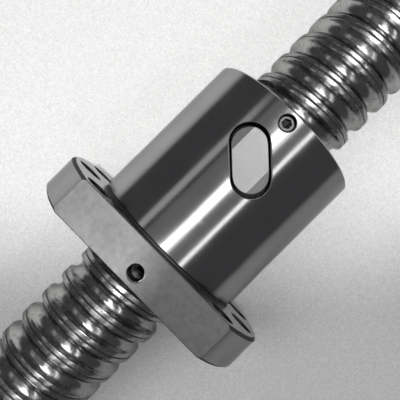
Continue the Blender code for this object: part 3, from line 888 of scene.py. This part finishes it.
def cut_set_screw_hole(nut, materials):
    place = radial_frame(SET_SCREW_X, TOP)
    boolean(nut, edge_cutter(
        "cut_set_screw_hole",
        lambda grow: arc((0, 0), SET_SCREW_HOLE_R + grow, 0, math.tau, 40)[1:],
        place, NUT_BORE_R, SET_SCREW_HOLE_BREAK, materials))


def cut_track(nut, materials):
    """The ball track in the bore."""
    steps = 48
    first = math.floor((NUT_LOW + 3 * MM - GROOVE_X) / LEAD * steps)
    last = math.ceil((NUT_HIGH - 3 * MM - GROOVE_X) / LEAD * steps)
    points = [on_screw(GROOVE_X + LEAD * i / steps, BALL_CIRCLE_R + TRACK_CLEAR,
                       math.tau * i / steps) for i in range(first, last + 1)]
    boolean(nut, bar("cut_nut_track", points, TRACK_R, materials, TRACK))


def return_cutter(index, name, materials, paint):
    steps = 12
    points = [return_point(index, way / steps) for way in range(-steps, steps + 1)]
    lead_in = (points[0] - points[1]).normalized() * BALL_D / 2
    lead_out = (points[-1] - points[-2]).normalized() * BALL_D / 2
    return bar(name, [points[0] + lead_in, *points, points[-1] + lead_out], TRACK_R + 0.1 * MM,
               materials, paint)


def true_normals(obj, turned_slots):
    """Give turned faces the exact normals of their cones and cylinders, for clean reflections."""
    mesh = obj.data
    smooth(obj)
    normals = [(0.0, 0.0, 0.0)] * len(mesh.loops)
    for face in mesh.polygons:
        across = Vector((0, face.center.y, face.center.z)).normalized()
        tangent = Vector((0, -across.z, across.y))
        if face.material_index not in turned_slots:
            if face.area > MM * MM:
                for loop in face.loop_indices:
                    normals[loop] = tuple(face.normal)
            continue
        if abs(face.normal.dot(tangent)) > 0.1 or face.area < 1e-12:
            continue
        slope = face.normal.x
        reach = math.sqrt(max(0, 1 - slope * slope)) * (1 if face.normal.dot(across) > 0 else -1)
        for loop in face.loop_indices:
            co = mesh.vertices[mesh.loops[loop].vertex_index].co
            radial = Vector((0, co.y, co.z)).normalized()
            normals[loop] = (slope, radial.y * reach, radial.z * reach)
    mesh.normals_split_custom_set(normals)


def paint_broken_edges(nut):
    """The edges broken round the windows and the set screw's hole are satin, as the flats are."""
    for face in nut.data.polygons:
        x, y, z = face.center
        radius = math.hypot(y, z)
        facing = (face.normal.y * y + face.normal.z * z) / radius
        at_edge = x > UNDERCUT_WIDTH and radius > REST_R - MM and facing > 0.3
        if at_edge and face.material_index == DRILLED_SHADE:
            face.material_index = MILLED


def nut_housing(materials):
    nut = nut_blank(materials)
    cut_flats(nut, materials)
    cut_bolt_holes(nut, materials)
    cut_port(nut, materials)
    cut_windows(nut, materials)
    cut_set_screw_hole(nut, materials)
    cut_track(nut, materials)
    for index in range(CIRCUITS):
        boolean(nut, return_cutter(index, f"cut_passage_{index + 1}", materials, TRACK))
    settle(nut)
    paint_broken_edges(nut)
    true_normals(nut, (GROUND, RELIEF_SHADE, BORE))
    finish_piece(nut, "nut", "ground_steel", "nut_body")


# ================================================================ inserts and balls
BLASTED, FOOT_SHADE, TUNNEL = range(3)


def return_insert(index, materials):
    """A boss with three flats on a wider foot that fills the window, hollowed to the screw."""
    x, angle = circuit_x(index), circuit_angle(index)
    place = radial_frame(x, angle, WINDOW_TURN)
    straight = radial_frame(x, angle)
    foot = racetrack(WINDOW_LENGTH - 2 * FIT_GAP, WINDOW_WIDTH - 2 * FIT_GAP, 24)
    boss = racetrack(INSERT_LENGTH, INSERT_WIDTH, 24)
    above = [(px, py, INSERT_TOP_R + 3 * MM) for px, py in boss]
    name = f"ball_return_insert_{index + 1}"
    # The foot's walls and the cut bore take the drilled finish, which is painted shade.
    insert = loft(name, [
        [(px, py, SCREW_R - TRACK_R) for px, py in foot],
        [(px, py, INSERT_SHOULDER_R) for px, py in foot],
        [(px, py, INSERT_SHOULDER_R + FIT_GAP) for px, py in boss], above],
        materials, FOOT_SHADE, place)
    wide = WINDOW_LENGTH
    drop = (wide - INSERT_FACET_HALF) * math.tan(INSERT_FACET_SLOPE)
    outline = [(-wide, 0), (wide, 0), (wide, INSERT_TOP_R - drop),
               (INSERT_FACET_HALF, INSERT_TOP_R), (-INSERT_FACET_HALF, INSERT_TOP_R),
               (-wide, INSERT_TOP_R - drop)]
    loops = [[(px, y, z) for y, z in outline] for px in (-wide, wide)]
    boolean(insert, loft(f"cut_roof_{index + 1}", loops, materials, BLASTED, straight),
            "INTERSECT")
    bore = Skin(128)
    bore.rings([(x - wide, 0), (x - wide, NUT_BORE_R), (x + wide, NUT_BORE_R), (x + wide, 0)])
    boolean(insert, bore.piece(f"cut_bore_{index + 1}", materials, FOOT_SHADE))
    boolean(insert, return_cutter(index, f"cut_tunnel_{index + 1}", materials, TUNNEL))
    settle(insert)
    break_edges(insert, 0.18 * MM)
    smooth(insert, 18)
    finish_piece(insert, "nut", "blasted_steel", f"return_insert_{index + 1}")


def ball_group(name, centres, material):
    shape = bmesh.new()
    for centre in centres:
        bmesh.ops.create_uvsphere(shape, u_segments=24, v_segments=14, radius=BALL_D / 2,
                                  matrix=Matrix.Translation(centre))
    mesh = bpy.data.meshes.new(name)
    shape.to_mesh(mesh)
    shape.free()
    mesh.materials.append(material)
    mesh.shade_smooth()
    return new_object(name, mesh)


def circuit_balls(index, material):
    number = index + 1
    slack = 0.018
    spacing = 0.98 * 2 / BALLS_RETURNING
    centres = [loaded_point(index, slack + (1 - 2 * slack) * (ball + 0.5) / BALLS_LOADED)
               for ball in range(BALLS_LOADED)]
    finish_piece(ball_group(f"loaded_ball_row_{number}", centres, material), "nut",
                 "ball_steel", f"loaded_balls_{number}")
    for ball in range(BALLS_RETURNING):
        way = (ball - (BALLS_RETURNING - 1) / 2) * spacing
        finish_piece(ball_group(f"return_ball_{number}_{ball + 1}", [return_point(index, way)],
                                material),
                     "nut", "ball_steel", f"returning_ball_{number}_{ball + 1}")


# ================================================================ wipers and small hardware
def wiper(name, node, outward, material):
    """A plastic wiper whose lip follows the screw's thread."""
    low, high = span(node, 0)
    edge = 0.4 * MM
    dish = 0.5 * MM
    rim_r = WIPER_R - 2.4 * MM

    def lip(offset, turns, x):
        return thread_envelope(offset) + WIPER_CLEAR
    skin = Skin(THREAD_COLUMNS)
    skin.rings([(high, rim_r), (high, WIPER_R - edge), (high - edge, WIPER_R),
                (low + edge, WIPER_R), (low, WIPER_R - edge), (low, rim_r)])
    if outward < 0:
        skin.rings([(low + dish, rim_r - dish)])
        skin.thread(low + dish, high, LEAD, GROOVE_X, lip_offsets(), lip)
    else:
        skin.thread(low, high - dish, LEAD, GROOVE_X, lip_offsets(), lip)
        skin.rings([(high - dish, rim_r - dish)])
    skin.close()
    finish_piece(smooth(skin.piece(name, [material])), "nut", "wiper_plastic", node)


def thread_envelope(offset):
    """The thread's own shape, without its seam."""
    return min(track_radius(min(offset, LEAD - offset)), SCREW_R)


def lip_offsets():
    track = LEAD / 2 - land_half()
    left = [track * share for share in (0, 0.3, 0.6, 0.85, 1)]
    return left + [LEAD - offset for offset in reversed(left[1:])]


def set_screw(materials):
    """The screw that clamps the wiper, with a cup point and a hexagon socket."""
    pitch = SET_SCREW_PITCH

    def radius_at(offset, turns, x):
        ends = min(x - SET_SCREW_LOW, SET_SCREW_TOP - x)
        root = SET_SCREW_R - fine_thread_depth(pitch)
        return min(SET_SCREW_R - fine_thread_cut(offset, pitch), root + 0.15 * MM + max(ends, 0))
    place = radial_frame(SET_SCREW_X, TOP)
    skin = Skin(40, on_end(place))
    skin.rings([(SET_SCREW_LOW + 0.7 * MM, 0), (SET_SCREW_LOW, 1.1 * MM)])
    skin.thread(SET_SCREW_LOW, SET_SCREW_TOP, pitch, 0, fine_thread_offsets(pitch), radius_at)
    skin.rings([(SET_SCREW_TOP, 2.2 * MM), (SET_SCREW_TOP, 0)])
    screw = skin.piece("wiper_clamp_screw", materials)
    corner = SOCKET_ACROSS / math.sqrt(3)
    floor_z = SET_SCREW_TOP - SOCKET_DEPTH
    loops = [[(size * math.cos(k * math.pi / 3), size * math.sin(k * math.pi / 3), z)
              for k in range(6)]
             for z, size in ((floor_z - 0.8 * MM, 0.2 * MM), (floor_z, corner),
                             (SET_SCREW_TOP + MM, corner))]
    # The socket takes the drilled finish, which is painted shade.
    boolean(screw, loft("cut_socket", loops, materials, 1, place))
    settle(screw)
    finish_piece(smooth(screw), "nut", "black_oxide", "wiper_set_screw")


def retaining_ring(material):
    """A split ring, wider away from its split, with two lugs and their eyes."""
    inner_r, outer_r, lug_r, eye_r = 14.65 * MM, 18.5 * MM, 3.2 * MM, 1.3 * MM
    half = math.radians(14)
    middle = (inner_r + outer_r) / 2
    lug = (middle * math.cos(half) + lug_r / 2, middle * math.sin(half) + lug_r / 2)
    low_lug = (lug[0], -lug[1])
    inner = arc((0, 0), inner_r, half, math.tau - half, 72)
    start = math.radians(36)
    outline = (list(reversed(inner)) + arc(lug, lug_r, math.radians(-60), math.radians(120), 20)
               + arc((-0.4 * MM, 0), outer_r, start, math.tau - start, 64)
               + arc(low_lug, lug_r, math.radians(-120), math.radians(60), 20))
    curve = bpy.data.curves.new("ring_outline", "CURVE")
    curve.dimensions = "2D"
    curve.fill_mode = "BOTH"
    curve.extrude = RING_THICK / 2
    eyes = [arc(c, eye_r, 0, math.tau * 23 / 24, 23) for c in (lug, low_lug)]
    for loop in (outline, *eyes):
        spline = curve.splines.new("POLY")
        spline.points.add(len(loop) - 1)
        for index, point in enumerate(loop):
            spline.points[index].co = (*point, 0, 1)
        spline.use_cyclic_u = True
    flat = new_object("ring_outline", curve)
    graph = bpy.context.evaluated_depsgraph_get()
    mesh = bpy.data.meshes.new_from_object(flat.evaluated_get(graph))
    bpy.data.objects.remove(flat, do_unlink=True)
    stand = Matrix.Translation((RING_X, 0, 0)) @ Matrix.Rotation(TOP, 4, "Z") @ Matrix.Rotation(
        TOP, 4, "X")
    mesh.transform(stand)
    clean(mesh)
    mesh.materials.clear()
    mesh.materials.append(material)
    ring = new_object("snap_ring", mesh)
    break_edges(ring, 0.12 * MM)
    finish_piece(smooth(ring), "ring", "spring_steel", "retaining_ring")


# ================================================================ floor, light, camera
CAMERA_AT = Vector((19.1, -2.5, 175.9)) * MM
CAMERA_AIM = Vector((20.2, 3.2, 0)) * MM
CAMERA_ROLL = math.radians(45.2)
LENS = 42.34


def floor():
    size = 4.0
    mesh = bpy.data.meshes.new("floor")
    corners = [(-size, -size, FLOOR_Z), (size, -size, FLOOR_Z), (size, size, FLOOR_Z),
               (-size, size, FLOOR_Z)]
    mesh.from_pydata(corners, [], [(0, 1, 2, 3)])
    mesh.materials.append(floor_paper())
    new_object("floor", mesh)


def softbox(name, place, aim, size_x, size_y, radiance):
    """A soft light of the given radiance whose long side lies along the screw."""
    light = bpy.data.lights.new(name, "AREA")
    light.shape = "RECTANGLE"
    light.size, light.size_y = size_x, size_y
    light.energy = radiance * math.pi * size_x * size_y
    obj = new_object(name, light)
    back = (Vector(place) - Vector(aim)).normalized()
    along = (Vector((1, 0, 0)) - back * back.x).normalized()
    obj.matrix_world = Matrix.Translation(place) @ Matrix(
        (along, back.cross(along), back)).transposed().to_4x4()
    obj.visible_camera = False
    return obj


def strip(name, angle, width, radiance, x_from, x_to, distance=0.6):
    """A strip light along the screw, at an angle from straight above towards -Y, with its width
    in degrees as seen from the axis."""
    tilt = math.radians(angle)
    x = (x_from + x_to) / 2
    place = Vector((x, -distance * math.sin(tilt), distance * math.cos(tilt)))
    size = 2 * distance * math.tan(math.radians(width / 2))
    return softbox(name, place, (x, 0, 0), x_to - x_from, size, radiance)


def spot(name, place, aim, half_angle, blend, radius, watts):
    """A soft round spot aimed at a point."""
    light = bpy.data.lights.new(name, "SPOT")
    light.energy = watts
    light.spot_size = 2 * math.radians(half_angle)
    light.spot_blend = blend
    light.shadow_soft_size = radius
    obj = new_object(name, light)
    obj.location = place
    obj.rotation_euler = (Vector(aim) - Vector(place)).to_track_quat("-Z", "Y").to_euler()
    return obj


def lights():
    """Strips over the screw make the bands on the steel. Fills and a spot light the floor alone."""
    overhead = strip("overhead", 2, 11.3, 3.7, -0.03, 0.5)
    overhead_low = strip("overhead_low", 2, 11.3, 1.7, -0.55, -0.03)
    overhead_side = strip("overhead_side", 7.5, 10.5, 1.3, 0.1, 0.5)
    overhead_end = strip("overhead_end", 0, 26, 4.2, 0.26, 0.6)
    strip("overhead_glow", 0, 60, 0.16, -0.5, 0.5, 0.75)
    strip("window_near", 29.9, 5, 2.7, -0.5, 0.4)
    strip("window_far", -39.6, 8.5, 0.58, -0.3, 0.2)
    flange_light = spot("flange_light", (-0.2, 0.01, 0.7), (-0.012, 0.025, FLAT_Z),
                        half_angle=2.3, blend=0.05, radius=0.008, watts=13)
    fill_far = strip("floor_fill_far", -21, 20, 3, -0.55, 0, 0.7)
    fill_top = strip("floor_fill_top", 0, 20, 1.8, -0.3, 0.5, 0.7)
    floor_key = spot("floor_key", (0.02, 0, 0.7), (0.354, 0.354, FLOOR_Z),
                     half_angle=35.7, blend=0.035, radius=0.03, watts=12.9)
    for light in (overhead, overhead_low, overhead_side, overhead_end, flange_light):
        light.visible_diffuse = False
    for light in (fill_far, fill_top, floor_key):
        light.visible_glossy = False
    world = bpy.data.worlds.new("studio")
    world.use_nodes = True
    world.node_tree.nodes["Background"].inputs[0].default_value = (0.086, 0.087, 0.092, 1)
    bpy.context.scene.world = world


def camera():
    data = bpy.data.cameras.new("camera")
    data.lens = LENS
    data.clip_start = 0.01
    obj = new_object("camera", data)
    back = (CAMERA_AT - CAMERA_AIM).normalized()
    up = Vector((math.cos(CAMERA_ROLL), math.sin(CAMERA_ROLL), 0))
    right = up.cross(back).normalized()
    obj.matrix_world = Matrix.Translation(CAMERA_AT) @ Matrix(
        (right, back.cross(right), back)).transposed().to_4x4()
    bpy.context.scene.camera = obj


# ================================================================ build
def build():
    ground = ground_steel()
    drilled = drilled_painted_shade()
    relief = relief_painted_shade()
    raceway = raceway_steel()
    screw_shaft([rolled_steel(), ground, seam_painted_shade()])
    nut_housing([ground, milled_steel(), drilled, relief, raceway, raceway, turned_steel()])
    blasted = blasted_steel()
    balls = ball_steel()
    for index in range(CIRCUITS):
        return_insert(index, [blasted, drilled, raceway])
        circuit_balls(index, balls)
    plastic = wiper_plastic()
    wiper("flange_end_wiper", "wiper_flange_end", -1, plastic)
    wiper("free_end_wiper", "wiper_free_end", 1, plastic)
    set_screw([black_oxide(), drilled])
    retaining_ring(spring_steel())
    floor()
    lights()
    camera()
    bpy.context.scene.view_settings.view_transform = "Standard"


build()
